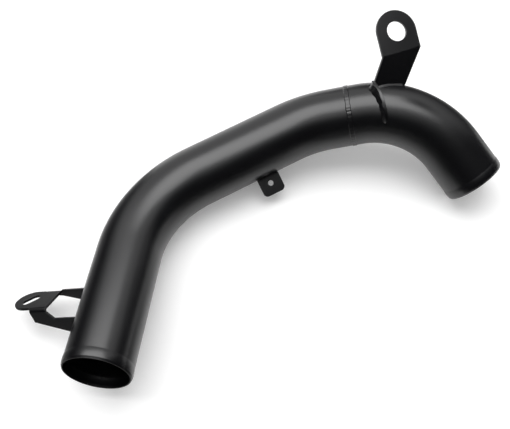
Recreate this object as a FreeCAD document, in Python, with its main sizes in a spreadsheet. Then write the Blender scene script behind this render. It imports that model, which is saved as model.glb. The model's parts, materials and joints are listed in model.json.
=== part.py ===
import FreeCAD, Part
import os

# A turbocharger's boost pipe: two bent tubes joined by one girth weld, with a rolled bead at each mouth,
# an eye bracket on the outside of the elbow, a slotted bracket beside the inlet and a small clip tab.
# Every straight carries its own frame: Z runs along the tube and X points to the centre of the next bend.

SIZES = {
    # tubes
    "tube_diameter": 63.5,
    "tube_wall": 2.0,
    "inlet_leg_length": 127.2,
    "first_bend_radius": 118.6,
    "first_bend_angle": 56.7,
    "long_run_length": 106.2,
    "second_bend_twist_angle": -8.7,
    "second_bend_radius": 104.9,
    "second_bend_angle": 25.8,
    "joint_stub_length": 22.5,
    "elbow_lead_length": 8.1,
    "elbow_twist_angle": 59.7,
    "elbow_bend_radius": 102.2,
    "elbow_bend_angle": 62.9,
    "outlet_leg_length": 40.9,
    # lips and rolled beads at the mouths, and the girth weld
    "lip_length": 1.8,
    "lip_drop": 0.9,
    "bead_setback": 6.2,
    "bead_arc_radius": 15.0,
    "bead_height": 0.6,
    "bead_flank_angle": 20.0,
    "girth_weld_arc_radius": 3.2,
    "girth_weld_height": 1.2,
    # eye bracket on the elbow
    "eye_sheet": 3.0,
    "eye_station_angle": 13.2,
    "eye_yaw_angle": 26.0,
    "eye_forward": 9.0,
    "eye_fold_offset": -8.0,
    "eye_fold_height": 25.3,
    "eye_fold_slant_angle": 16.6,
    "eye_fold_angle": 20.0,
    "eye_fold_inner_radius": 3.0,
    "eye_lean_angle": 6.0,
    "eye_radius": 22.1,
    "eye_hole_diameter": 21.0,
    "eye_centre_height": 20.5,
    "strip_left_lean_angle": 33.5,
    "strip_right_lean_angle": 36.7,
    "gusset_yaw_angle": 20.0,
    "gusset_offset": -12.4,
    "gusset_lean_angle": 13.4,
    "gusset_crown_height": 5.0,
    "gusset_crown_angle": 33.0,
    "gusset_shift": 7.0,
    "strip_weld_offset": -13.5,
    "strip_weld_radius": 4.2,
    "strip_weld_length": 31.5,
    "strip_weld_tilt_angle": 4.0,
    "gusset_weld_radius": 6.0,
    "gusset_weld_rise": 1.2,
    "gusset_weld_start_angle": 25.0,
    "gusset_weld_sweep_angle": 95.0,
    # clip tab on the long run
    "tab_sheet": 3.0,
    "tab_station": 66.0,
    "tab_clock_angle": 49.7,
    "tab_width": 24.5,
    "tab_height": 20.5,
    "tab_corner_radius": 5.0,
    "tab_hole_diameter": 6.0,
    "tab_hole_height": 8.2,
    "tab_weld_radius": 2.2,
    # slotted bracket on the inlet leg
    "slot_sheet": 2.5,
    "slot_station": 57.2,
    "slot_clock_angle": 172.7,
    "slot_reach": 29.7,
    "slot_rise": 19.5,
    "slot_tilt_angle": 27.8,
    "slot_bracket_width": 36.0,
    "slot_fold_inner_radius": 1.5,
    "web_length": 17.5,
    "nose_radius": 15.7,
    "nose_reach": 25.0,
    "slot_length": 18.0,
    "slot_opening": 9.0,
    "slot_angle": -52.6,
    "near_leg_drop": 13.0,
    "near_leg_inset": 8.0,
    "near_leg_waist": 2.0,
    "near_arm_tip_height": 3.0,
    "near_arm_root_height": 21.0,
    "far_leg_end_height": 4.6,
    "far_leg_tip_height": 6.2,
    "far_leg_root_height": 17.0,
    "leg_root_depth": 8.0,
    "leg_weld_radius": 2.4,
    # how the pipe lies at rest
    "rest_yaw_angle": -33.086,
    "rest_pitch_angle": -11.865,
    "rest_roll_angle": -98.349,
}

doc = FreeCAD.newDocument("boost_pipe")
sheet = doc.addObject("Spreadsheet::Sheet", "Sizes")
for row, (alias, value) in enumerate(SIZES.items(), start=1):
    sheet.set(f"A{row}", alias)
    sheet.set(f"B{row}", str(value))
    sheet.setAlias(f"B{row}", alias)
doc.recompute()

TUBE_RADIUS = "(Sizes.tube_diameter / 2)"
BORE_RADIUS = "(Sizes.tube_diameter / 2 - Sizes.tube_wall)"
ROOT_DEPTH = "(Sizes.tube_diameter / 4)"
HALF_TURN = "180"


def at(frame, x="0", y="0", z="0", axis="0; 0; 1", angle="0"):
    """Expression for a frame moved along another frame's axes and then turned."""
    return f"{frame} * placement(vector({x}; {y}; {z}); rotation(vector({axis}); {angle}))"


def solid(kind, name, frame, **sizes):
    """Adds a primitive with its frame and its sizes bound to the sheet."""
    piece = doc.addObject("Part::" + kind, name)
    for prop, expression in sizes.items():
        piece.setExpression(prop, expression)
    if frame:
        piece.setExpression("Placement", frame)
    return piece


def fuse(name, *pieces):
    """One solid from several."""
    joined = doc.addObject("Part::MultiFuse", name)
    joined.Shapes = list(pieces)
    joined.Refine = True
    return joined


def cut(name, base, tool):
    """What is left of one solid outside another."""
    rest = doc.addObject("Part::Cut", name)
    rest.Base = base
    rest.Tool = tool
    rest.Refine = True
    return rest


def common(name, base, tool):
    """What two solids share."""
    shared = doc.addObject("Part::Common", name)
    shared.Base = base
    shared.Tool = tool
    return shared


def trim(name, bead, *neighbours):
    """What is left of a weld bead outside the pieces that it joins, cut by one piece at a time."""
    for count, neighbour in enumerate(neighbours[:-1], start=1):
        bead = cut(f"{name}_trim_{count}", bead, neighbour)
    return cut(name, bead, neighbours[-1])


def straight(name, frame, length):
    """A straight of tube, as its outside and its bore."""
    outside = solid("Cylinder", name, frame, Radius=TUBE_RADIUS, Height=length)
    bore = solid("Cylinder", name + "_bore", f"{name}.Placement", Radius=BORE_RADIUS, Height=length)
    return outside, bore


def bend(name, leg, length, radius, angle):
    """A bend that starts where a straight ends, as its outside and its bore."""
    frame = at(f"{leg}.Placement", x=radius, z=length, axis="0; 1; 1", angle=HALF_TURN)
    outside = solid("Torus", name, frame, Radius1=radius, Radius2=TUBE_RADIUS, Angle3=angle)
    bore = solid("Torus", name + "_bore", frame, Radius1=radius, Radius2=BORE_RADIUS, Angle3=angle)
    return outside, bore


def around(frame, length, radius, angle):
    """Frame part of the way, or all the way, round the bend that follows a straight."""
    turned = at(frame, x=radius, z=length, axis="0; 1; 0", angle=angle)
    return at(turned, x=f"-{radius}")


def rolled_bead(name, rim):
    """The low bead rolled into a mouth: a ridge outside and the matching groove inside."""
    sizes = {"Radius1": f"{TUBE_RADIUS} + Sizes.bead_height - Sizes.bead_arc_radius",
             "Angle1": "-Sizes.bead_flank_angle", "Angle2": "Sizes.bead_flank_angle"}
    frame = at(rim, z="Sizes.bead_setback")
    ridge = solid("Torus", name, frame, Radius2="Sizes.bead_arc_radius", **sizes)
    hollow = "Sizes.bead_arc_radius - Sizes.tube_wall"
    groove = solid("Torus", name + "_groove", frame, Radius2=hollow, **sizes)
    return ridge, groove


def lip(name, rim):
    """What the drawn-in lip of a mouth takes off the tube: a collar round a cone that narrows to the rim."""
    collar = solid("Cylinder", name + "_collar", rim, Radius="Sizes.tube_diameter",
                   Height="2 * Sizes.lip_length")
    cone = solid("Cone", name + "_cone", rim, Radius1=f"{TUBE_RADIUS} - Sizes.lip_drop",
                 Radius2=f"{TUBE_RADIUS} + Sizes.lip_drop", Height="2 * Sizes.lip_length")
    return cut(name, collar, cone)


def fold(name, frame, length, inner, sheet_thickness, angle):
    """The curved part of a folded sheet: a sector of a ring along the fold."""
    outer = solid("Cylinder", name + "_outside", frame, Height=length, Angle=angle)
    outer.setExpression("Radius", f"{inner} + {sheet_thickness}")
    core = solid("Cylinder", name + "_core", frame, Radius=inner, Height=length, Angle=angle)
    return cut(name, outer, core)


# Main tube: inlet leg, first bend, long run, gentle second bend and a short stub to the girth weld.
inlet_leg = straight("inlet_leg", None, "Sizes.inlet_leg_length")
first_bend = bend("first_bend", "inlet_leg", "Sizes.inlet_leg_length", "Sizes.first_bend_radius",
                  "Sizes.first_bend_angle")
after_first = around("inlet_leg.Placement", "Sizes.inlet_leg_length", "Sizes.first_bend_radius",
                     "Sizes.first_bend_angle")
long_run = straight("long_run", at(after_first, angle="Sizes.second_bend_twist_angle"),
                    "Sizes.long_run_length")
second_bend = bend("second_bend", "long_run", "Sizes.long_run_length", "Sizes.second_bend_radius",
                   "Sizes.second_bend_angle")
after_second = around("long_run.Placement", "Sizes.long_run_length", "Sizes.second_bend_radius",
                      "Sizes.second_bend_angle")
joint_stub = straight("joint_stub", after_second, "Sizes.joint_stub_length")
inlet_bead = rolled_bead("inlet_bead", "inlet_leg.Placement")
main_pieces = list(zip(inlet_leg, first_bend, long_run, second_bend, joint_stub, inlet_bead))
main_blank = fuse("main_blank", *main_pieces[0])
main_outside = cut("main_outside", main_blank, lip("inlet_lip", "inlet_leg.Placement"))
main_bore = fuse("main_bore", *main_pieces[1])
main_tube = cut("main_tube", main_outside, main_bore)

# Outlet elbow: a short lead from the girth weld, the elbow's bend and the outlet leg.
elbow_start = at("joint_stub.Placement", z="Sizes.joint_stub_length", angle="Sizes.elbow_twist_angle")
elbow_lead = straight("elbow_lead", elbow_start, "Sizes.elbow_lead_length")
elbow_bend = bend("elbow_bend", "elbow_lead", "Sizes.elbow_lead_length", "Sizes.elbow_bend_radius",
                  "Sizes.elbow_bend_angle")
after_elbow = around("elbow_lead.Placement", "Sizes.elbow_lead_length", "Sizes.elbow_bend_radius",
                     "Sizes.elbow_bend_angle")
outlet_leg = straight("outlet_leg", after_elbow, "Sizes.outlet_leg_length")
outlet_rim = at("outlet_leg.Placement", z="Sizes.outlet_leg_length", axis="1; 0; 0", angle=HALF_TURN)
outlet_bead = rolled_bead("outlet_bead", outlet_rim)
elbow_pieces = list(zip(elbow_lead, elbow_bend, outlet_leg, outlet_bead))
elbow_blank = fuse("elbow_blank", *elbow_pieces[0])
elbow_outside = cut("elbow_outside", elbow_blank, lip("outlet_lip", outlet_rim))
elbow_bore = fuse("elbow_bore", *elbow_pieces[1])
outlet_elbow = cut("outlet_elbow", elbow_outside, elbow_bore)

# Girth weld: a raised ring over the butt joint of the two tubes.
girth_ring = solid("Torus", "girth_ring", "elbow_lead.Placement", Radius2="Sizes.girth_weld_arc_radius")
girth_ring.setExpression("Radius1", f"{TUBE_RADIUS} + Sizes.girth_weld_height - Sizes.girth_weld_arc_radius")
girth_core = solid("Cylinder", "girth_core", at("elbow_lead.Placement", z="-Sizes.girth_weld_arc_radius"),
                   Radius=TUBE_RADIUS, Height="2 * Sizes.girth_weld_arc_radius")
girth_weld = cut("girth_weld", girth_ring, girth_core)

# Eye bracket: a strip of sheet standing on the outside of the elbow, folded back to a round eye, with a
# gusset folded forward over the tube. In its frame X runs along the strip, Y away from the tube and Z
# to the strip's front.
eye_axis = around("elbow_lead.Placement", "Sizes.elbow_lead_length", "Sizes.elbow_bend_radius",
                  "Sizes.eye_station_angle")
eye_station = at(eye_axis, axis="1; -1; 1", angle="120")
eye_base = at(eye_station, axis="0; 1; 0", angle="Sizes.eye_yaw_angle")
eye_width = "(2 * Sizes.eye_radius / cos(Sizes.eye_lean_angle))"
strip_frame = at(eye_base, x="Sizes.eye_fold_offset", y=f"{TUBE_RADIUS} + Sizes.eye_fold_height",
                 z="Sizes.eye_forward", angle="Sizes.eye_fold_slant_angle")
strip_depth = f"(Sizes.eye_fold_height + {ROOT_DEPTH})"
strip = solid("Wedge", "eye_strip", strip_frame, Ymin=f"-{strip_depth}", Ymax="0",
              Xmin=f"-{strip_depth} * tan(Sizes.strip_left_lean_angle)",
              Xmax=f"{eye_width} - {strip_depth} * tan(Sizes.strip_right_lean_angle)",
              X2min="0", X2max=eye_width,
              Zmin="0", Zmax="Sizes.eye_sheet", Z2min="0", Z2max="Sizes.eye_sheet")
eye_fold_axis = at(strip_frame, x=eye_width, z="-Sizes.eye_fold_inner_radius", axis="0; 1; 0", angle="-90")
eye_fold = fold("eye_fold", eye_fold_axis, eye_width, "Sizes.eye_fold_inner_radius", "Sizes.eye_sheet",
                "Sizes.eye_fold_angle")
eye_turned = at(strip_frame, z="-Sizes.eye_fold_inner_radius", axis="1; 0; 0", angle="-Sizes.eye_fold_angle")
eye_frame = at(eye_turned, z="Sizes.eye_fold_inner_radius")
eye_centre = at(eye_frame, x=f"{eye_width} / 2 + Sizes.eye_centre_height * tan(Sizes.eye_lean_angle)",
                y="Sizes.eye_centre_height")
eye_rise = "Sizes.eye_centre_height / cos(Sizes.eye_lean_angle)"
eye_side = f"({eye_rise} + Sizes.eye_radius * tan(Sizes.eye_lean_angle))"
eye_neck = solid("Box", "eye_neck", at(at(eye_centre, angle="-Sizes.eye_lean_angle"), x="-Sizes.eye_radius",
                                       y=f"-{eye_side}"),
                 Length="2 * Sizes.eye_radius", Width=eye_side, Height="Sizes.eye_sheet")
above_fold = solid("Box", "above_fold", at(eye_frame, x=f"-{eye_width}"), Length=f"3 * {eye_width}",
                   Width=f"2 * {eye_width}", Height="Sizes.eye_sheet")
eye_plate = common("eye_plate", eye_neck, above_fold)
eye_round = solid("Cylinder", "eye_round", eye_centre, Radius="Sizes.eye_radius", Height="Sizes.eye_sheet")
eye_hole = solid("Cylinder", "eye_hole", eye_centre, Radius="Sizes.eye_hole_diameter / 2",
                 Height="Sizes.eye_sheet")
gusset_base = at(eye_station, axis="0; 1; 0", angle="Sizes.gusset_yaw_angle")
gusset_frame = at(gusset_base, x="Sizes.gusset_offset", y=TUBE_RADIUS, angle="Sizes.gusset_lean_angle")
gusset_sheet = solid("Box", "gusset_sheet", at(gusset_frame, x="-Sizes.eye_sheet", y="-Sizes.tube_diameter",
                                               z="Sizes.eye_forward"),
                     Length="Sizes.eye_sheet", Width="2 * Sizes.tube_diameter", Height="Sizes.tube_diameter")
gusset_crown = solid("Cylinder", "gusset_crown",
                     at(eye_axis, x="-Sizes.gusset_shift * cos(Sizes.gusset_crown_angle)",
                        y="-Sizes.gusset_shift * sin(Sizes.gusset_crown_angle)", z=f"-{TUBE_RADIUS}"),
                     Height="Sizes.tube_diameter")
gusset_crown.setExpression("Radius", f"{TUBE_RADIUS} + Sizes.gusset_crown_height - Sizes.gusset_shift")
gusset = common("gusset", gusset_sheet, gusset_crown)
eye_blank = fuse("eye_blank", strip, eye_fold, eye_plate, eye_round, gusset)
eye_pierced = cut("eye_pierced", eye_blank, eye_hole)
eye_bracket = cut("eye_bracket", eye_pierced, elbow_outside)

# Welds of the eye bracket: one bead along the front of the strip and one round the outside of the gusset.
strip_front = "(Sizes.eye_forward + Sizes.eye_sheet)"
bead_swing = "Sizes.strip_weld_offset * sin(Sizes.eye_yaw_angle)"
bead_forward = f"({strip_front} * cos(Sizes.eye_yaw_angle) - {bead_swing})"
strip_bead_frame = at(eye_base, x="Sizes.strip_weld_offset",
                      y=f"sqrt({TUBE_RADIUS} ^ 2 - {bead_forward} ^ 2)", z=strip_front,
                      angle="Sizes.strip_weld_tilt_angle")
strip_bead_axis = at(at(strip_bead_frame, axis="0; 1; 0", angle="90"), angle="90")
strip_bead = solid("Cylinder", "strip_bead", strip_bead_axis,
                   Radius="Sizes.strip_weld_radius", Height="Sizes.strip_weld_length", Angle=HALF_TURN)
strip_weld = trim("eye_strip_weld", strip_bead, elbow_outside, eye_blank)
gusset_foot = f"(Sizes.gusset_offset + {TUBE_RADIUS} * tan(Sizes.gusset_lean_angle))"
axis_to_gusset = f"({gusset_foot} / cos(Sizes.gusset_yaw_angle))"
gusset_section = at(gusset_base, x=f"{axis_to_gusset} * cos(Sizes.gusset_yaw_angle)",
                    z=f"{axis_to_gusset} * sin(Sizes.gusset_yaw_angle)", angle="Sizes.gusset_lean_angle")
gusset_bead_frame = at(gusset_section, x="-Sizes.eye_sheet", axis="0; 1; 0", angle="90")
gusset_bead = solid("Torus", "gusset_bead",
                    at(gusset_bead_frame, angle="90 + Sizes.gusset_weld_start_angle"),
                    Radius2="Sizes.gusset_weld_radius", Angle1="0", Angle2=HALF_TURN,
                    Angle3="Sizes.gusset_weld_sweep_angle")
gusset_bead.setExpression("Radius1", f"{TUBE_RADIUS} + Sizes.gusset_weld_rise")
gusset_weld = trim("eye_gusset_weld", gusset_bead, elbow_outside, eye_blank, strip_bead)

# Clip tab: a small plate standing out from the long run, with two round corners and one hole.
tab_frame = at(at("long_run.Placement", z="Sizes.tab_station"), angle="Sizes.tab_clock_angle")
tab_tip = f"({TUBE_RADIUS} + Sizes.tab_height)"
tab_foot = f"({TUBE_RADIUS} - {ROOT_DEPTH})"
tab_plate = solid("Box", "tab_plate", at(tab_frame, x=tab_foot, z="-Sizes.tab_width / 2"),
                  Length=f"{tab_tip} - {tab_foot} - Sizes.tab_corner_radius", Width="Sizes.tab_sheet",
                  Height="Sizes.tab_width")
tab_end = solid("Box", "tab_end", at(tab_frame, x=tab_foot,
                                     z="Sizes.tab_corner_radius - Sizes.tab_width / 2"),
                Length=f"{tab_tip} - {tab_foot}", Width="Sizes.tab_sheet",
                Height="Sizes.tab_width - 2 * Sizes.tab_corner_radius")
tab_corners = []
for side, sign in (("left", "-"), ("right", "")):
    corner = at(tab_frame, x=f"{tab_tip} - Sizes.tab_corner_radius",
                z=f"{sign}(Sizes.tab_width / 2 - Sizes.tab_corner_radius)", axis="1; 0; 0", angle="-90")
    tab_corners.append(solid("Cylinder", f"tab_{side}_corner", corner, Radius="Sizes.tab_corner_radius",
                             Height="Sizes.tab_sheet"))
tab_hole = solid("Cylinder", "tab_hole",
                 at(tab_frame, x=f"{TUBE_RADIUS} + Sizes.tab_hole_height", axis="1; 0; 0", angle="-90"),
                 Radius="Sizes.tab_hole_diameter / 2", Height="Sizes.tab_sheet")
tab_blank = fuse("tab_blank", tab_plate, tab_end, *tab_corners)
tab_pierced = cut("tab_pierced", tab_blank, tab_hole)
clip_tab = cut("clip_tab", tab_pierced, main_outside)

# Weld of the clip tab: one bead along its back.
tab_bead = solid("Cylinder", "tab_bead",
                 at(tab_frame, x=TUBE_RADIUS, y="Sizes.tab_sheet", z="-Sizes.tab_width / 2"),
                 Radius="Sizes.tab_weld_radius", Height="Sizes.tab_width", Angle=HALF_TURN)
tab_weld = trim("clip_tab_weld", tab_bead, main_outside, tab_blank)

# Slotted bracket: a web with a round nose and a slot, and two legs folded down to the inlet leg. In its
# frame X runs outward, Y across from the near leg to the far leg and Z down the legs.
slot_axis = at(at("inlet_leg.Placement", z="Sizes.slot_station"), angle="Sizes.slot_clock_angle")
slot_frame = at(slot_axis, x=f"{TUBE_RADIUS} + Sizes.slot_reach", y="Sizes.slot_rise", axis="1; 0; 0",
                angle="90 + Sizes.slot_tilt_angle")
slot_fold_radius = "(Sizes.slot_fold_inner_radius + Sizes.slot_sheet)"
slot_middle = "(Sizes.slot_bracket_width / 2)"
web = solid("Box", "slot_web", at(slot_frame, y=slot_fold_radius), Length="Sizes.web_length",
            Width=f"Sizes.slot_bracket_width - 2 * {slot_fold_radius}", Height="Sizes.slot_sheet")
tongue = solid("Box", "slot_tongue", at(slot_frame, x="Sizes.web_length",
                                        y=f"{slot_middle} - Sizes.nose_radius"),
               Length="Sizes.nose_reach - Sizes.web_length", Width="2 * Sizes.nose_radius",
               Height="Sizes.slot_sheet")
nose_centre = at(slot_frame, x="Sizes.nose_reach", y=slot_middle)
nose = solid("Cylinder", "slot_nose", nose_centre, Radius="Sizes.nose_radius", Height="Sizes.slot_sheet")
near_fold = fold("near_fold", at(slot_frame, y=slot_fold_radius, z=slot_fold_radius, axis="-1; 1; -1",
                                 angle="120"),
                 "Sizes.web_length", "Sizes.slot_fold_inner_radius", "Sizes.slot_sheet", "90")
far_fold = fold("far_fold", at(slot_frame, y=f"Sizes.slot_bracket_width - {slot_fold_radius}",
                               z=slot_fold_radius, axis="0; 1; 0", angle="90"),
                "Sizes.web_length", "Sizes.slot_fold_inner_radius", "Sizes.slot_sheet", "90")
leg_inner_end = "(Sizes.slot_reach + Sizes.leg_root_depth)"
near_leg = solid("Wedge", "near_leg", at(slot_frame, axis="1; 0; 0", angle="90"),
                 Ymin=slot_fold_radius, Ymax="Sizes.near_leg_drop", Xmin="0", Xmax="Sizes.web_length",
                 X2min="-Sizes.near_leg_inset", X2max="Sizes.web_length - Sizes.near_leg_waist",
                 Zmin="-Sizes.slot_sheet", Zmax="0", Z2min="-Sizes.slot_sheet", Z2max="0")
arm_frame = at(slot_frame, axis="1; -1; 1", angle="120")
arm_top = "(Sizes.near_leg_drop - Sizes.near_arm_tip_height / 2)"
near_arm = solid("Wedge", "near_arm", arm_frame,
                 Ymin="Sizes.near_leg_waist - Sizes.web_length", Ymax=leg_inner_end,
                 Xmin=arm_top, Xmax=f"{arm_top} + Sizes.near_arm_tip_height",
                 X2min=arm_top, X2max=f"{arm_top} + Sizes.near_arm_root_height",
                 Zmin="-Sizes.slot_sheet", Zmax="0", Z2min="-Sizes.slot_sheet", Z2max="0")
far_frame = at(slot_frame, y="Sizes.slot_bracket_width - Sizes.slot_sheet", axis="1; -1; 1", angle="120")
far_leg = solid("Wedge", "far_leg", far_frame, Ymin="-Sizes.web_length", Ymax="0",
                Xmin=slot_fold_radius, Xmax="Sizes.far_leg_end_height",
                X2min=slot_fold_radius, X2max="Sizes.far_leg_tip_height",
                Zmin="-Sizes.slot_sheet", Zmax="0", Z2min="-Sizes.slot_sheet", Z2max="0")
far_arm = solid("Wedge", "far_arm", far_frame, Ymin="0", Ymax=leg_inner_end,
                Xmin="0", Xmax="Sizes.far_leg_tip_height",
                X2min="0", X2max="Sizes.far_leg_root_height",
                Zmin="-Sizes.slot_sheet", Zmax="0", Z2min="-Sizes.slot_sheet", Z2max="0")
slot_line = at(nose_centre, angle="Sizes.slot_angle")
slot_straight = "(Sizes.slot_length - Sizes.slot_opening)"
slot_box = solid("Box", "slot_box", at(slot_line, x=f"-{slot_straight} / 2", y="-Sizes.slot_opening / 2"),
                 Length=slot_straight, Width="Sizes.slot_opening", Height="Sizes.slot_sheet")
slot_ends = []
for side, sign in (("near", "-"), ("far", "")):
    slot_ends.append(solid("Cylinder", f"slot_{side}_end", at(slot_line, x=f"{sign}{slot_straight} / 2"),
                           Radius="Sizes.slot_opening / 2", Height="Sizes.slot_sheet"))
slot_blank = fuse("slot_blank", web, tongue, nose, near_fold, far_fold, near_leg, near_arm, far_leg, far_arm)
slot_opening = fuse("slot_cutout", slot_box, *slot_ends)
slot_pierced = cut("slot_pierced", slot_blank, slot_opening)
slot_bracket = cut("slot_bracket", slot_pierced, main_outside)

# Welds of the slotted bracket: one bead beside each leg where it meets the tube.
leg_welds = []
for side, across, top, height in (
        ("near", "Sizes.slot_sheet", arm_top, "Sizes.near_arm_root_height - Sizes.near_arm_tip_height"),
        ("far", "Sizes.slot_bracket_width", "0", "Sizes.far_leg_root_height - Sizes.slot_sheet")):
    bead = solid("Cylinder", f"{side}_leg_bead", at(slot_frame, x="-Sizes.slot_reach", y=across, z=top),
                 Radius="Sizes.leg_weld_radius", Height=height, Angle=HALF_TURN)
    leg_welds.append(trim(f"slot_{side}_weld", bead, main_outside, slot_blank))

NODES = [main_tube, outlet_elbow, girth_weld, eye_bracket, strip_weld, gusset_weld, clip_tab, tab_weld,
         slot_bracket, *leg_welds]

# The pipe lies as it comes to rest: turned by its resting angles, then set on the floor and centred.
root = doc.getObject("inlet_leg")
turn = FreeCAD.Rotation(sheet.rest_yaw_angle, sheet.rest_pitch_angle, sheet.rest_roll_angle)
root.Placement = FreeCAD.Placement(FreeCAD.Vector(), turn)
doc.recompute()
extent = Part.makeCompound([node.Shape for node in NODES]).optimalBoundingBox(False)
root.Placement = FreeCAD.Placement(FreeCAD.Vector(-extent.Center.x, -extent.Center.y, -extent.ZMin), turn)
doc.recompute()

for thing in doc.Objects:
    if "Invalid" in thing.State or "Error" in thing.State:
        raise RuntimeError(f"{thing.Name} did not build: {thing.State}")
for node in NODES:
    if node.Shape.isNull() or not node.Shape.isValid() or len(node.Shape.Solids) != 1:
        raise RuntimeError(f"{node.Label} is not one valid solid")

os.makedirs("parts", exist_ok=True)
for node in NODES:
    node.Shape.exportStep(f"parts/{node.Label}.step")
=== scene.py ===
import json

import bmesh
import bpy
import numpy as np
from mathutils import Matrix, Vector
from mathutils.bvhtree import BVHTree


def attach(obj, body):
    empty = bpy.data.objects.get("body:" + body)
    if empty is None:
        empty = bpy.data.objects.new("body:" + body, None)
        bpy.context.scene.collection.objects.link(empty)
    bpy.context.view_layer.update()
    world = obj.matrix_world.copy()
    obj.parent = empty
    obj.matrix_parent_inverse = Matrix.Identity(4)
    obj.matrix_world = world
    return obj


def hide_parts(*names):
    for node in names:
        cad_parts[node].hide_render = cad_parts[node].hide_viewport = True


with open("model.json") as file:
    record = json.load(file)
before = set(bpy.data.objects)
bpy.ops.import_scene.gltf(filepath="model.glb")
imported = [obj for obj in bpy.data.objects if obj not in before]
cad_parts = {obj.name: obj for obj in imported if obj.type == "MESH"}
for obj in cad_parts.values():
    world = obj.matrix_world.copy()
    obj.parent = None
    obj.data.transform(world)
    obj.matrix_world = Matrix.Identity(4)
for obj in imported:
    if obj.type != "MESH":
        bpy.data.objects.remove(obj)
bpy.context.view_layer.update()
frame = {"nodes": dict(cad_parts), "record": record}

# Main tube: a drawn aluminium tube, 63.5 mm across with a 2 mm wall, bent on a mandrel in two planes.
# A low bead is rolled into it behind the inlet rim, so that a hose clamped there can't slip off. The lip
# is drawn in a little and its edges are broken with a file before coating.
TUBE_RADIUS = 0.03175
BORE_RADIUS = 0.02975
RIM_ROUND = 0.0002
LIP_LENGTH = 0.0018
LIP_DROP = 0.0009
BEAD_SETBACK = 0.0062
BEAD_HEIGHT = 0.0004
BEAD_HALF_WIDTH = 0.0042
GROOVE_HALF_WIDTH = 0.0039
MOUTH_LENGTH, MOUTH_RINGS, RING_STEP, RIM_RINGS = 0.013, 84, 0.0025, 7
SPIGOT = next(mount for mount in frame["record"]["mounts"] if mount["name"] == "inlet_hose_spigot")
INLET_RIM = np.array(SPIGOT["pos_m"])
REST_ANGLES = np.radians((-33.086, -11.865, -98.349))
SECOND_TWIST, ELBOW_TWIST = -8.7, 51.0
# each run's length, then the bend's radius and the clock angle of its centre, or no radius for a straight
RUNS = (
    (0.1272, None, None),
    (0.1186 * np.radians(56.7), 0.1186, 0.0),
    (0.1062, None, None),
    (0.1049 * np.radians(25.8), 0.1049, np.radians(SECOND_TWIST)),
    (0.0306, None, None),
    (0.1022 * np.radians(62.9), 0.1022, np.radians(ELBOW_TWIST)),
    (0.0409, None, None),
)
PIPE_LENGTH = sum(run[0] for run in RUNS)
JOINT_STUB = 0.0225
JOINT_AT = sum(run[0] for run in RUNS[:4]) + JOINT_STUB
AROUND = 176


def rest_axes():
    """Rows are the inlet's X, Y and Z in the world: roll about X, then pitch about Y, then yaw about Z."""
    (cy, cp, cr), (sy, sp, sr) = np.cos(REST_ANGLES), np.sin(REST_ANGLES)
    yaw = np.array([[cy, -sy, 0], [sy, cy, 0], [0, 0, 1]])
    pitch = np.array([[cp, 0, sp], [0, 1, 0], [-sp, 0, cp]])
    roll = np.array([[1, 0, 0], [0, cr, -sr], [0, sr, cr]])
    return (yaw @ pitch @ roll).T


def pipe_at(s):
    """Centreline points and their axes at lengths s from the inlet rim.
    A straight moves on by its length along Z. A bend of radius R through angle a moves on by R sin a along Z
    and R (1 - cos a) towards its centre, and turns the axes by a about the line through that centre."""
    point = np.tile(INLET_RIM, (len(s), 1))
    axes = np.tile(rest_axes(), (len(s), 1, 1))
    done = 0.0
    for length, radius, clock in RUNS:
        part = np.clip(s - done, 0, length)[:, None]
        done += length
        along = axes[:, 2]
        if radius is None:
            point = point + part * along
            continue
        toward = np.cos(clock) * axes[:, 0] + np.sin(clock) * axes[:, 1]
        hub = np.cross(along, toward)
        angle = part / radius
        point = point + radius * (np.sin(angle) * along + (1 - np.cos(angle)) * toward)
        cos, sin = np.cos(angle)[:, :, None], np.sin(angle)[:, :, None]
        about = hub[:, None]
        share = (axes * about).sum(2, keepdims=True)
        axes = axes * cos + np.cross(about, axes) * sin + about * share * (1 - cos)
    return point, axes


def surface(name, grid, coat, closed=(True, True)):
    """Mesh of a grid of points, row by row, joined to itself along a closed direction and capped at the
    ends of an open one. The sign of the volume that it holds turns all its faces outward."""
    rows, columns = grid.shape[:2]
    i = np.arange(rows if closed[0] else rows - 1)[:, None]
    j = np.arange(columns if closed[1] else columns - 1)[None]
    i_next, j_next = (i + 1) % rows, (j + 1) % columns
    row, row_next = i * columns, i_next * columns
    quads = np.stack([row + j, row + j_next, row_next + j_next, row_next + j], 2).reshape(-1, 4)
    points = grid.reshape(-1, 3)
    faces = [tuple(face) for face in quads.tolist()]
    if not closed[0]:
        faces.append(tuple(range(columns))[::-1])
        faces.append(tuple(range((rows - 1) * columns, rows * columns)))
    a, b, c, d = (points[quads[:, k]] - points.mean(0) for k in range(4))
    volume = (np.cross(a, b) * c).sum() + (np.cross(a, c) * d).sum()
    if volume < 0:
        faces = [face[::-1] for face in faces]
    mesh = bpy.data.meshes.new(name)
    mesh.from_pydata(points.tolist(), [], faces)
    mesh.shade_smooth()
    mesh.materials.append(coat)
    piece = bpy.data.objects.new(name, mesh)
    bpy.context.scene.collection.objects.link(piece)
    return piece


def swept(s, r):
    """Rings around the centreline: ring i stands at length s[i] with radius r[i]."""
    point, axes = pipe_at(s)
    turn = np.linspace(0, 2 * np.pi, AROUND, endpoint=False)[None, :, None]
    ring = np.cos(turn) * axes[:, None, 0] + np.sin(turn) * axes[:, None, 1]
    return point[:, None] + r[:, None, None] * ring


def raised(distance, height, half_width, soft=0.00006):
    """A parabola of the given height and half width, eased into the plain wall by a smooth maximum."""
    arch = height * (1 - (distance / half_width) ** 2)
    return (arch + np.sqrt(arch ** 2 + soft ** 2)) / 2


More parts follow.
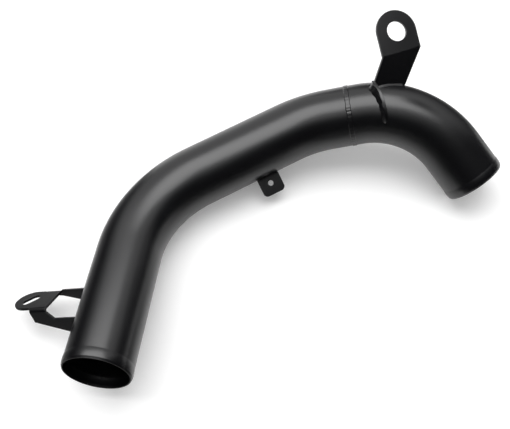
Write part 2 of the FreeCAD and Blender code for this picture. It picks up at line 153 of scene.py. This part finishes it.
def mouth_profile(far):
    """Distance from the rim and radius, going from the far end along the outside, round the rim's two
    filed edges and back along the inside. The rolled bead is a ridge outside and a groove inside, and the
    lip tapers in a straight line to the rim."""
    fine, coarse = np.linspace(RIM_ROUND, MOUTH_LENGTH, MOUTH_RINGS), np.arange(MOUTH_LENGTH, far, RING_STEP)
    wall = np.unique(np.concatenate([fine, coarse, [far]]))
    taper = LIP_DROP * np.clip(1 - wall / LIP_LENGTH, 0, 1)
    ridge = TUBE_RADIUS - taper + raised(wall - BEAD_SETBACK, BEAD_HEIGHT, BEAD_HALF_WIDTH)
    groove = BORE_RADIUS + raised(wall - BEAD_SETBACK, BEAD_HEIGHT, GROOVE_HALF_WIDTH)
    turn = np.linspace(0, np.pi / 2, RIM_RINGS)[1:]
    lip = RIM_ROUND * (1 - np.sin(turn))
    outer_lip = ridge[0] - RIM_ROUND * (1 - np.cos(turn))
    inner_lip = BORE_RADIUS + RIM_ROUND * (1 - np.cos(turn))
    distance = np.concatenate([wall[::-1], lip, lip[::-1], wall])
    radius = np.concatenate([ridge[::-1], outer_lip, inner_lip[::-1], groove])
    return distance, radius


def linear(hex_colour):
    """sRGB hex to linear: the power curve above 0.04045 and a straight line below it."""
    value = np.array([int(hex_colour[k:k + 2], 16) for k in (1, 3, 5)]) / 255
    low, high = value / 12.92, ((value + 0.055) / 1.055) ** 2.4
    return (*np.where(value > 0.04045, high, low).tolist(), 1.0)


def node(tree, kind, settings=None, links=None, **values):
    """Adds a shader node: its settings, its plain input values and the outputs linked to its inputs."""
    made = tree.nodes.new(kind)
    for key, value in (settings or {}).items():
        setattr(made, key, value)
    for key, value in values.items():
        made.inputs[key.replace("_", " ")].default_value = value
    for key, output in (links or {}).items():
        tree.links.new(output, made.inputs[key])
    return made


FILM_BLACKS = ("#050507", "#08080b")
FILM_GLOSS = (0.29, 0.33)
FILM_IOR = 1.55
CLOUD_SIZE, PEEL_SIZE, GRAIN_SIZE = 0.035, 0.002, 0.0007
RELIEF, RELIEF_STRENGTH = 0.00003, 0.5


def satin_black_powder_coat():
    """Polyester powder, sprayed dry and baked: it flows into a deep black satin film with a faint orange
    peel, 2 mm from hill to hill, and a finer grain of unmelted powder. The eye gets soft, wide highlights
    with a slight tooth. Real powder is finer than 0.1 mm. Its grain is drawn at 0.7 mm so that it shows."""
    coat = bpy.data.materials.new("satin_black_powder_coat")
    coat.use_nodes = True
    tree = coat.node_tree
    shader = tree.nodes["Principled BSDF"]
    shader.inputs["IOR"].default_value = FILM_IOR
    place = node(tree, "ShaderNodeTexCoord").outputs["Object"]
    cloud = node(tree, "ShaderNodeTexNoise", {}, {"Vector": place}, Scale=1 / CLOUD_SIZE, Detail=3.0)
    film = node(tree, "ShaderNodeMix", {"data_type": "RGBA"}, {0: cloud.outputs[0]})
    film.inputs[6].default_value, film.inputs[7].default_value = map(linear, FILM_BLACKS)
    tree.links.new(film.outputs[2], shader.inputs["Base Color"])
    gloss = node(tree, "ShaderNodeMapRange", {}, {"Value": cloud.outputs[0]},
                 To_Min=FILM_GLOSS[0], To_Max=FILM_GLOSS[1])
    tree.links.new(gloss.outputs[0], shader.inputs["Roughness"])
    peel = node(tree, "ShaderNodeTexNoise", {}, {"Vector": place}, Scale=1 / PEEL_SIZE, Detail=1.0)
    grain = node(tree, "ShaderNodeTexNoise", {}, {"Vector": place}, Scale=1 / GRAIN_SIZE, Detail=2.0)
    hills = node(tree, "ShaderNodeBump", {}, {"Height": peel.outputs[0]},
                 Strength=RELIEF_STRENGTH, Distance=RELIEF)
    specks = node(tree, "ShaderNodeBump", {}, {"Height": grain.outputs[0], "Normal": hills.outputs[0]},
                  Strength=RELIEF_STRENGTH, Distance=RELIEF)
    tree.links.new(specks.outputs[0], shader.inputs["Normal"])
    return coat


POWDER_COAT = satin_black_powder_coat()


def fit(piece, *cad_nodes):
    """Lets a piece stand for its CAD nodes: hides them, and puts the piece on the one rigid body."""
    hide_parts(*cad_nodes)
    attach(piece, "root")


inlet_distance, inlet_radius = mouth_profile(JOINT_AT)
main_tube = surface("bent_main_tube", swept(inlet_distance, inlet_radius), POWDER_COAT)
fit(main_tube, "main_tube")

# Outlet elbow: a shorter length of the same tube with one tighter bend, cut square and butted against the
# main tube. It has the same rolled bead and filed rim at its mouth.
outlet_distance, outlet_radius = mouth_profile(PIPE_LENGTH - JOINT_AT)
outlet_rings = swept(PIPE_LENGTH - outlet_distance, outlet_radius)
outlet_elbow = surface("bent_outlet_elbow", outlet_rings, POWDER_COAT)
fit(outlet_elbow, "outlet_elbow")

# Girth weld: one pass run right round the butt joint by hand, so its width wanders a little and each
# added drop of filler leaves a ripple. A short groove crosses it where the pass ends on its own start.
WELD_HALF_WIDTH = 0.0027
WELD_HEIGHT = 0.0006
WELD_SINK = 0.0004
RIPPLE_PITCH, RIPPLE_DEPTH = 0.0036, 0.18
LAP_TURN, LAP_WIDTH, LAP_DEPTH = 5.36, 0.022, 0.65
TOE_EASE, TOE_STEPS, TOE_WANDER, TOE_WAVES, TOE_SEEDS = 0.28, 8, 0.09, 30, (3, 8)
FLAT_TOP = (-0.4, 0.0, 0.4)
GIRTH_STEPS = 960


def wander(t, seed, waves=7):
    """Smooth hand-made unevenness between about -1 and 1 along a turn t, from a few sine waves."""
    dice = np.random.default_rng(seed)
    count = np.arange(2, 2 + waves)
    phase, size = dice.uniform(0, 2 * np.pi, waves), dice.uniform(0.5, 1, waves)
    return (size * np.sin(count * np.asarray(t)[..., None] + phase)).sum(-1) / np.sqrt(waves)


def girth_bead():
    """Rings of a flat bead round the joint: it eases up from each toe over the last quarter or so of its half
    width, the two toes wander apart from each other, and a groove crosses it where the pass ends."""
    turn = np.linspace(0, 2 * np.pi, GIRTH_STEPS, endpoint=False)
    edge = np.linspace(0, TOE_EASE, TOE_STEPS)
    u = np.concatenate([edge - 1, FLAT_TOP, 1 - edge[::-1]])
    ease = np.clip((1 - np.abs(u)) / TOE_EASE, 0, 1)
    ripple = 1 - RIPPLE_DEPTH * np.abs(np.sin(turn * TUBE_RADIUS * np.pi / RIPPLE_PITCH))
    lap = np.exp(-((turn - LAP_TURN) / LAP_WIDTH) ** 2)
    near_toe, far_toe = (wander(turn, seed, TOE_WAVES)[:, None] for seed in TOE_SEEDS)
    toes = np.where(u < 0, near_toe, far_toe)
    offset = JOINT_AT + WELD_HALF_WIDTH * u * (1 + TOE_WANDER * toes)
    lift = WELD_HEIGHT * (ripple * (1 - LAP_DEPTH * lap))[:, None] * ease ** 2 * (3 - 2 * ease)
    point, axes = pipe_at(offset.ravel())
    point, axes = point.reshape(*offset.shape, 3), axes.reshape(*offset.shape, 3, 3)
    out = np.cos(turn)[:, None, None] * axes[:, :, 0] + np.sin(turn)[:, None, None] * axes[:, :, 1]
    crown = point + out * (TUBE_RADIUS + lift)[:, :, None]
    root = point[:, [-1, 0]] + out[:, [-1, 0]] * (TUBE_RADIUS - WELD_SINK)
    return np.concatenate([crown, root], 1)


girth_weld = surface("girth_weld_bead", girth_bead(), POWDER_COAT)
fit(girth_weld, "girth_weld")

# Eye bracket: 3 mm aluminium sheet, cut and folded. A strip stands on the outside of the elbow, bends back
# to a round eye for a rubber mount, and its left edge is folded forward as a gusset over the tube.
SHEET_EDGE, EDGE_STEPS = 0.0004, 3
SHARP, FLAT = np.radians(40), np.radians(0.4)
SEWN, SLIVER, PROUD = 2e-6, 0.0002, 0.00002
SORTING_LINE = Vector((1.0, 1.618, 2.718))


def gather_strays(skin, sheet):
    """Merges each corner that the rounding has pushed out of the sheet into the nearest corner beside it, or
    lays it back on the sheet."""
    strays = set()
    for corner in skin.verts:
        near, facing = sheet.find_nearest(corner.co)[:2]
        if (corner.co - near).dot(facing) > PROUD:
            strays.add(corner)
    for corner in strays:
        beside = [e.other_vert(corner) for e in corner.link_edges]
        beside = [other for other in beside if other not in strays]
        if beside:
            corner.co = min(beside, key=lambda other: (other.co - corner.co).length).co
        else:
            corner.co = sheet.find_nearest(corner.co)[0]
    bmesh.ops.remove_doubles(skin, verts=skin.verts, dist=SEWN)
    bmesh.ops.dissolve_degenerate(skin, edges=skin.edges, dist=PROUD)


def deburred(name, cad_node):
    """Copy of a CAD sheet sewn into one skin, its flat triangles dissolved into whole faces and its sharp
    edges rounded over, as a file and the thick coat leave them. Its corners and faces are put in order along
    a slanting line, so that each run numbers them alike."""
    mesh = frame["nodes"][cad_node].data.copy()
    mesh.name = name
    skin = bmesh.new()
    skin.from_mesh(mesh)
    bmesh.ops.remove_doubles(skin, verts=skin.verts, dist=SEWN)
    bmesh.ops.dissolve_limit(skin, angle_limit=FLAT, verts=skin.verts, edges=skin.edges)
    bmesh.ops.dissolve_degenerate(skin, edges=skin.edges, dist=SLIVER)
    skin.normal_update()
    sheet = BVHTree.FromBMesh(skin)
    sharp = [e for e in skin.edges if e.is_manifold and e.calc_face_angle() > SHARP]
    bmesh.ops.bevel(skin, geom=sharp, offset=SHEET_EDGE, offset_type="OFFSET", segments=EDGE_STEPS,
                    profile=0.5, affect="EDGES", clamp_overlap=False)
    gather_strays(skin, sheet)
    skin.verts.sort(key=lambda corner: corner.co.dot(SORTING_LINE))
    skin.faces.sort(key=lambda face: face.calc_center_median().dot(SORTING_LINE))
    skin.to_mesh(mesh)
    skin.free()
    mesh.shade_smooth()
    mesh.materials.clear()
    mesh.materials.append(POWDER_COAT)
    piece = bpy.data.objects.new(name, mesh)
    bpy.context.scene.collection.objects.link(piece)
    even = piece.modifiers.new("flat_faces", "WEIGHTED_NORMAL")
    even.mode = "FACE_AREA"
    even.weight = 100
    return piece


eye_bracket = deburred("folded_eye_bracket", "eye_bracket")
fit(eye_bracket, "eye_bracket")

# Welds of the eye bracket: a small even bead along the front of the strip, and a lumpy one down the outside
# of the gusset, thick at the strip and thin at its tip. Both are run by hand, drop after drop of filler.
ELBOW_LEAD = 0.0081
EYE_STATION = JOINT_AT + ELBOW_LEAD + RUNS[5][1] * np.radians(13.2)
STRIP_YAW, STRIP_FRONT, STRIP_WELD, STRIP_STEPS = 26.0, 0.012, (-0.0150, 0.0175), 150
GUSSET_YAW, GUSSET_LEAN, GUSSET_OUTSIDE = 20.0, 13.4, (-0.0124, -0.0030)
GUSSET_WELD, GUSSET_STEPS, GUSSET_START = np.radians((17.0, 104.0)), 260, 0.046
CLEAR_OF_TUBE = 0.045
FLATNESS = 1.7
HAND_WAVE, LUMP_SIZE, LUMP_SKEW = 0.011, 0.007, 1.4
DROP_SHARE, LUMP_SHARE, END_SHARE = 0.9, 0.6, 0.8
TOE_SINK, ROOT_DEPTH = 0.0002, 0.0006
END_LEAST, OVAL_STEPS = 0.002, 13
SEARCH_ALONG, SEARCH_POINTS, SEARCH_DEPTH, HALVINGS = 0.05, 400, 0.03, 18


def spin(axes, k, degrees):
    """The same three axes turned about their own axis k."""
    i, j = (k + 1) % 3, (k + 2) % 3
    c, s = np.cos(np.radians(degrees)), np.sin(np.radians(degrees))
    turned = axes.copy()
    turned[i] = c * axes[i] + s * axes[j]
    turned[j] = c * axes[j] - s * axes[i]
    return turned


def from_centreline(points, station):
    """Distance of points from the centreline near a station, and the directions away from it."""
    centre = pipe_at(np.linspace(station - SEARCH_ALONG, station + SEARCH_ALONG, SEARCH_POINTS))[0]
    away = points[:, None] - centre
    length = np.linalg.norm(away, axis=2)
    row, best = np.arange(len(points)), length.argmin(1)
    return length[row, best], away[row, best] / length[row, best][:, None]


def on_tube(start, heading, station):
    """Where lines from outside meet the tube: each stretch is halved again and again, and the half kept that
    crosses the wall."""
    near, far = np.zeros(len(start)), np.full(len(start), SEARCH_DEPTH)
    for step in range(HALVINGS):
        middle = (near + far) / 2
        outside = from_centreline(start + middle[:, None] * heading, station)[0] > TUBE_RADIUS
        near, far = np.where(outside, middle, near), np.where(outside, far, middle)
    return start + near[:, None] * heading


def fillet(name, corner, up_sheet, off_sheet, station, legs, drop, rough, seed, bulges=()):
    """A bead laid in the corner of a sheet and the tube. Across it, a quarter of an oval runs from its toe on
    the tube to its toe on the sheet and back through a root inside both. Along it, both legs swell with
    every drop of filler and with the hand's unevenness, grow or shrink at a bulge, and close at both ends."""
    step = np.linalg.norm(np.diff(corner, axis=0), axis=1)
    along = np.concatenate([[0], np.cumsum(step)])
    heading = np.gradient(corner, axis=0)
    heading /= np.linalg.norm(heading, axis=1)[:, None]
    out = from_centreline(corner, station)[1]
    up = up_sheet - (heading * up_sheet).sum(1, keepdims=True) * heading
    up /= np.linalg.norm(up, axis=1)[:, None]
    side = np.cross(heading, out)
    side *= np.sign((side * off_sheet).sum(1, keepdims=True))
    drops = np.abs(np.sin(np.pi * along / drop))
    swell = 1 + rough * wander(along / HAND_WAVE, seed) + DROP_SHARE * rough * drops
    for place, width, gain in bulges:
        swell = swell + gain * np.exp(-((along - place * along[-1]) / width) ** 2)
    to_end = np.minimum(along, along[-1] - along) / (END_SHARE * max(legs))
    close = np.sqrt(np.clip(1 - np.clip(1 - to_end, 0, 1) ** 2, END_LEAST, 1))
    q = np.linspace(0, np.pi / 2, OVAL_STEPS)
    lumps = 1 + LUMP_SHARE * rough * wander(along[:, None] / LUMP_SIZE + LUMP_SKEW * np.sin(2 * q), seed + 1)
    reach = (swell * close)[:, None] * lumps
    foot, rise = legs[0] * reach * np.cos(q) ** FLATNESS, legs[1] * reach * np.sin(q) ** FLATNESS
    toe = corner + foot[:, :1] * side
    gap, toe_out = from_centreline(toe, station)
    sink = (gap - TUBE_RADIUS + TOE_SINK)[:, None] * np.cos(q) ** 2
    crown = corner[:, None] + foot[..., None] * side[:, None] + rise[..., None] * up[:, None]
    crown = crown - sink[..., None] * toe_out[:, None]
    root = corner - ROOT_DEPTH * out - ROOT_DEPTH * side
    return surface(name, np.concatenate([crown, root[:, None]], 1), POWDER_COAT, closed=(False, True))


(eye_point,), (eye_tube,) = pipe_at(np.array([EYE_STATION]))
eye_tube = spin(eye_tube, 2, ELBOW_TWIST)
eye_axes = np.stack([eye_tube[2], -eye_tube[0], -eye_tube[1]])
strip_axes = spin(eye_axes, 1, STRIP_YAW)
x = np.linspace(*STRIP_WELD, STRIP_STEPS)[:, None]
strip_line = eye_point + x * strip_axes[0] + CLEAR_OF_TUBE * strip_axes[1] + STRIP_FRONT * strip_axes[2]
strip_corner = on_tube(strip_line, -strip_axes[1], EYE_STATION)
strip_weld = fillet("eye_strip_weld_bead", strip_corner, strip_axes[1], strip_axes[2], EYE_STATION,
                    legs=(0.0022, 0.0014), drop=0.0072, rough=0.05, seed=5, bulges=((0.93, 0.0025, 0.30),))
fit(strip_weld, "eye_strip_weld")

gusset_base = spin(eye_axes, 1, GUSSET_YAW)
gusset_axes = spin(gusset_base, 2, GUSSET_LEAN)
gusset_foot = eye_point + GUSSET_OUTSIDE[0] * gusset_base[0] + TUBE_RADIUS * gusset_base[1]
gusset_hub = gusset_foot + GUSSET_OUTSIDE[1] * gusset_axes[0] - TUBE_RADIUS * gusset_axes[1]
clock = np.linspace(*GUSSET_WELD, GUSSET_STEPS)[:, None]
spoke = np.cos(clock) * gusset_axes[1] + np.sin(clock) * gusset_axes[2]
gusset_corner = on_tube(gusset_hub + GUSSET_START * spoke, -spoke, EYE_STATION)
gusset_weld = fillet("eye_gusset_weld_bead", gusset_corner, spoke, -gusset_axes[0], EYE_STATION,
                     legs=(0.0038, 0.0050), drop=0.0085, rough=0.09, seed=12,
                     bulges=((0.14, 0.008, 0.40), (0.80, 0.016, -0.35)))
fit(gusset_weld, "eye_gusset_weld")

# Clip tab: a small 3 mm sheet with two round corners and one hole, stood on the long run to carry a cable
# or hose clip. One short bead along its back holds it.
TAB_ALONG = 0.066
TAB_STATION = sum(run[0] for run in RUNS[:2]) + TAB_ALONG
TAB_CLOCK, TAB_SHEET, TAB_WELD, TAB_STEPS = SECOND_TWIST + 49.7, 0.003, (-0.0115, 0.0115), 110
clip_tab = deburred("clip_tab_plate", "clip_tab")
fit(clip_tab, "clip_tab")
(tab_point,), (tab_axes,) = pipe_at(np.array([TAB_STATION]))
tab_axes = spin(tab_axes, 2, TAB_CLOCK)
z = np.linspace(*TAB_WELD, TAB_STEPS)[:, None]
tab_line = tab_point + CLEAR_OF_TUBE * tab_axes[0] + TAB_SHEET * tab_axes[1] + z * tab_axes[2]
tab_corner = on_tube(tab_line, -tab_axes[0], TAB_STATION)
tab_weld = fillet("clip_tab_weld_bead", tab_corner, tab_axes[0], tab_axes[1], TAB_STATION,
                  legs=(0.0024, 0.0022), drop=0.0036, rough=0.05, seed=21, bulges=((0.9, 0.002, 0.3),))
fit(tab_weld, "clip_tab_weld")

# Slotted bracket: 2.5 mm sheet folded twice, a web with a round nose and a slot for one bolt, and two legs
# cut to the tube. Each leg has one bead where it meets the inlet leg.
SLOT_STATION = 0.0572
SLOT_CLOCK, SLOT_TILT, SLOT_RISE = 172.7, 90 + 27.8, 0.0195
LEG_START, LEG_STEPS = 0.012, 90
# each weld's place across the web, its span along the leg and its seed
LEG_WELDS = (
    ("slot_near_weld", 0.0025, (0.0120, 0.0290), 31),
    ("slot_far_weld", 0.0360, (0.0010, 0.0150), 41),
)
slot_bracket = deburred("folded_slot_bracket", "slot_bracket")
fit(slot_bracket, "slot_bracket")
(slot_point,), (slot_axes,) = pipe_at(np.array([SLOT_STATION]))
slot_axes = spin(slot_axes, 2, SLOT_CLOCK)
slot_corner = slot_point + TUBE_RADIUS * slot_axes[0] + SLOT_RISE * slot_axes[1]
slot_axes = spin(slot_axes, 0, SLOT_TILT)
for cad_node, across, span, seed in LEG_WELDS:
    z = np.linspace(*span, LEG_STEPS)[:, None]
    leg_line = slot_corner + LEG_START * slot_axes[0] + across * slot_axes[1] + z * slot_axes[2]
    leg_corner = on_tube(leg_line, -slot_axes[0], SLOT_STATION)
    leg_weld = fillet(cad_node + "_bead", leg_corner, slot_axes[0], slot_axes[1], SLOT_STATION,
                      legs=(0.0027, 0.0025), drop=0.0038, rough=0.05, seed=seed)
    fit(leg_weld, cad_node)

# Studio: a plain white table under one large softbox that leans to the back, photographed from the front and
# well above. The softbox is two lamps in one place, one for reflections and one for matt surfaces. Black felt
# flags, cards and dots, which only reflections show, keep parts of the pipe dark.
TABLE_HALF, TABLE_GLOW = 1.5, 0.12


def looked_at(tree):
    """1 for rays from the camera, a reflection or a clear piece, and 0 for light on its way to a matt
    surface: the greatest of the three flags of the light path."""
    ray = node(tree, "ShaderNodeLightPath")
    direct = node(tree, "ShaderNodeMath", {"operation": "MAXIMUM"},
                  {0: ray.outputs["Is Camera Ray"], 1: ray.outputs["Is Glossy Ray"]})
    every = node(tree, "ShaderNodeMath", {"operation": "MAXIMUM"},
                 {0: direct.outputs[0], 1: ray.outputs["Is Transmission Ray"]})
    return every.outputs[0]


def white_table():
    """Matt white laminate that keeps the shadow. Where it is looked at, a faint glow of its own lifts it to a
    white background."""
    table = bpy.data.materials.new("matt_white_laminate")
    table.use_nodes = True
    tree = table.node_tree
    shader = tree.nodes["Principled BSDF"]
    shader.inputs["Base Color"].default_value = linear("#f5f5f5")
    shader.inputs["Roughness"].default_value = 0.9
    shader.inputs["Specular IOR Level"].default_value = 0.0
    shader.inputs["Emission Color"].default_value = (1, 1, 1, 1)
    glow = node(tree, "ShaderNodeMath", {"operation": "MULTIPLY"}, {0: looked_at(tree)})
    glow.inputs[1].default_value = TABLE_GLOW
    tree.links.new(glow.outputs[0], shader.inputs["Emission Strength"])
    return table


def stage_sheet(name, grid, stuff):
    """An open sheet of the studio from a grid of points."""
    rows, columns = grid.shape[:2]
    i, j = np.arange(rows - 1)[:, None], np.arange(columns - 1)[None]
    first = i * columns + j
    quads = np.stack([first, first + 1, first + columns + 1, first + columns], 2).reshape(-1, 4)
    mesh = bpy.data.meshes.new(name)
    mesh.from_pydata(grid.reshape(-1, 3).tolist(), [], quads.tolist())
    mesh.materials.append(stuff)
    sheet = bpy.data.objects.new(name, mesh)
    bpy.context.scene.collection.objects.link(sheet)
    return sheet


def black_felt():
    """Black felt on a frame: it sends almost no light back, and lets light through where the weave opens."""
    felt = bpy.data.materials.new("black_felt")
    felt.use_nodes = True
    tree = felt.node_tree
    shader = tree.nodes["Principled BSDF"]
    shader.inputs["Base Color"].default_value = linear("#101010")
    shader.inputs["Roughness"].default_value = 1.0
    shader.inputs["Specular IOR Level"].default_value = 0.0
    weave = node(tree, "ShaderNodeAttribute", {"attribute_name": "open_weave"})
    clear = node(tree, "ShaderNodeBsdfTransparent")
    cloth = node(tree, "ShaderNodeMixShader", {},
                 {0: weave.outputs["Fac"], 1: shader.outputs[0], 2: clear.outputs[0]})
    tree.links.new(cloth.outputs[0], tree.nodes["Material Output"].inputs["Surface"])
    return felt


edge = np.array((-TABLE_HALF, TABLE_HALF))
table_grid = np.stack(np.broadcast_arrays(edge[None, :], edge[:, None], 0.0), 2)
stage_sheet("table_top", table_grid, white_table())

FLAG_RADIUS, FLAG_FOOT, FLAG_STATIONS = 0.75, 0.1, 60
# compass angles round the flags, and how high the felt is solid and ends there, all in degrees
FLAG_POSTS = (22, 32, 46, 60, 90, 120, 180, 240, 300, 330, 352)
FLAG_SOLID = (0.2, 14, 20, 4, 4, 50, 54, 40, 28, 12, 0.2)
FLAG_TOP = (5, 28, 32, 32, 38, 72, 73, 64, 54, 46, 20)
CARD_STATIONS, CARD_LIFT = 60, 0.001
# The mouth card is painted shadow: a dark patch in front of the inlet rim that only the rim's reflection
# shows.
MOUTH_CARD_AHEAD, MOUTH_CARD_SIDES = (0.0, 0.02, 0.65), (-0.45, 0.16)
MOUTH_CARD_STEPS, MOUTH_CARD_LIFT = 9, 0.0015
# The dots over the eye bracket and the clip tab are painted shade: seen only in reflections, they darken the
# eye plate, the tab and the elbow's highlight beside the strip.
DOT_RINGS, DOT_STEPS = (0.001, 0.032, 0.060), 33
OVER_EYE, OVER_TAB = np.array((0.2755, 0.0411, 0.2560)), np.array((0.0493, -0.0398, 0.1610))


def standing_flags():
    """Felt round the table: points on a circle, at the heights that the angles above the table give."""
    turn = np.linspace(FLAG_POSTS[0], FLAG_POSTS[-1], FLAG_STATIONS)
    solid, top = np.interp(turn, FLAG_POSTS, FLAG_SOLID), np.interp(turn, FLAG_POSTS, FLAG_TOP)
    rise = FLAG_RADIUS * np.tan(np.radians(np.stack([np.full(FLAG_STATIONS, FLAG_FOOT), solid, top])))
    x, y = FLAG_RADIUS * np.sin(np.radians(turn)), FLAG_RADIUS * np.cos(np.radians(turn))
    return np.stack(np.broadcast_arrays(x[None], y[None], rise), 2)


def beside_pipe(stations, distances):
    """Felt card flat on the table: rows of points at level distances from the pipe's centreline."""
    card = card_path[None, stations] + np.array(distances)[:, None, None] * card_side[stations]
    card[..., 2] = CARD_LIFT
    return card


def ahead_of_mouth():
    """Dark card flat on the table, seen only in reflections: it paints a shadow in front of the inlet rim
    into the rim's reflection. Rows of points at level distances in front of the inlet rim.
    """
    ahead = np.array((-card_axes[0, 2, 0], -card_axes[0, 2, 1], 0.0))
    ahead /= np.linalg.norm(ahead)
    across = np.linspace(*MOUTH_CARD_SIDES, MOUTH_CARD_STEPS)[None, :, None] * card_side[0]
    card = INLET_RIM + np.array(MOUTH_CARD_AHEAD)[:, None, None] * ahead + across
    card[..., 2] = MOUTH_CARD_LIFT
    return card


def painted_shade_dot(place):
    """Level round felt about a place, seen only in reflections: it paints shade into the reflections of what
    lies under it. Rings of points.
    """
    turn, ring = np.linspace(0, 2 * np.pi, DOT_STEPS)[None, :], np.array(DOT_RINGS)[:, None]
    return np.stack(np.broadcast_arrays(ring * np.cos(turn), ring * np.sin(turn), 0.0), 2) + place


card_path, card_axes = pipe_at(np.linspace(0.0, PIPE_LENGTH, CARD_STATIONS))
card_side = np.cross(card_axes[:, 2], (0.0, 0.0, 1.0))
card_side /= np.linalg.norm(card_side, axis=1)[:, None]
felt = black_felt()
# each felt's grid, and how open its weave is from row to row
FELTS = (
    ("black_flags", standing_flags(), (0.0, 0.0, 1.0)),
    ("front_card", beside_pipe(slice(None), (0.05, 0.08, 0.11, 0.16, 0.28, 0.65)),
     (1.0, 0.8, 0.6, 0.4, 0.15, 0.0)),
    ("left_card", beside_pipe(slice(24), (-0.09, -0.20, -0.65)), (0.35, 0.20, 0.0)),
    ("right_card", beside_pipe(slice(48, None), (-0.10, -0.22, -0.65)), (0.60, 0.25, 0.0)),
    # painted shadow in front of the inlet rim, seen only in the rim's reflection
    ("mouth_painted_shadow_card", ahead_of_mouth(), (0.45, 0.22, 0.12)),
    # painted shade on the eye plate, the elbow beside the strip and the tab, seen only in reflections
    ("eye_painted_shade_dot", painted_shade_dot(OVER_EYE), (0.0, 0.0, 1.0)),
    ("tab_painted_shade_dot", painted_shade_dot(OVER_TAB), (0.1, 0.1, 1.0)),
)
for name, grid, open_rows in FELTS:
    flag = stage_sheet(name, grid, felt)
    weave = flag.data.attributes.new("open_weave", "FLOAT", "POINT")
    weave.data.foreach_set("value", np.repeat(open_rows, grid.shape[1]))
    flag.visible_camera = False
    flag.visible_diffuse = False
    flag.visible_shadow = False

CAMERA_PLACE = np.array((-0.177474, -0.303838, 0.668719))
CAMERA_RIGHT = np.array((0.88580, -0.46375, 0.01787))
CAMERA_UP = np.array((0.39844, 0.77966, 0.48310))
CAMERA_BACK = np.array((-0.23797, -0.42080, 0.87538))
SENSOR_WIDTH, FOCAL_LENGTH, NEAREST = 36.0, 50.26, 0.01


def looking(place, right, up, back):
    """World matrix with the given axes and place, for a thing that looks along minus its own Z."""
    rows = np.eye(4)
    rows[:3] = np.stack([right, up, back, place], 1)
    return Matrix(rows.tolist())


lens = bpy.data.cameras.new("photo_camera")
lens.sensor_width = SENSOR_WIDTH
lens.lens = FOCAL_LENGTH
lens.clip_start = NEAREST
camera = bpy.data.objects.new("photo_camera", lens)
camera.matrix_world = looking(CAMERA_PLACE, CAMERA_RIGHT, CAMERA_UP, CAMERA_BACK)
bpy.context.scene.collection.objects.link(camera)
bpy.context.scene.camera = camera

SOFTBOX_HEIGHT = 3.0
SOFTBOX_CENTRE = np.array((-0.80, 0.78))
SOFTBOX_SIZE = (4.1, 2.36)
SOFTBOX_WATTS = 124.0
SPILL_WATTS = 105.0
ROOM_LEVEL = 0.72
across = np.array((CAMERA_RIGHT[0], CAMERA_RIGHT[1], 0.0)) / np.hypot(CAMERA_RIGHT[0], CAMERA_RIGHT[1])
beyond = np.array((-across[1], across[0], 0.0))
overhead = np.array((0.0, 0.0, 1.0))
softbox_place = SOFTBOX_CENTRE[0] * across + SOFTBOX_CENTRE[1] * beyond + SOFTBOX_HEIGHT * overhead
for name, watts in (("softbox_front", SOFTBOX_WATTS), ("softbox_spill", SPILL_WATTS)):
    lamp = bpy.data.lights.new(name, "AREA")
    lamp.shape = "RECTANGLE"
    lamp.size, lamp.size_y = SOFTBOX_SIZE
    lamp.energy = watts
    softbox = bpy.data.objects.new(name, lamp)
    softbox.matrix_world = looking(softbox_place, across, beyond, overhead)
    softbox.visible_diffuse = name == "softbox_spill"
    softbox.visible_glossy = name == "softbox_front"
    bpy.context.scene.collection.objects.link(softbox)

world = bpy.data.worlds.new("white_room")
bpy.context.scene.world = world
world.use_nodes = True
sky = world.node_tree.nodes["Background"]
sky.inputs["Color"].default_value = (1, 1, 1, 1)
level = node(world.node_tree, "ShaderNodeMapRange", {}, {"Value": looked_at(world.node_tree)},
             To_Min=ROOM_LEVEL, To_Max=1.0)
world.node_tree.links.new(level.outputs[0], sky.inputs["Strength"])

bpy.context.scene.view_settings.view_transform = "Standard"
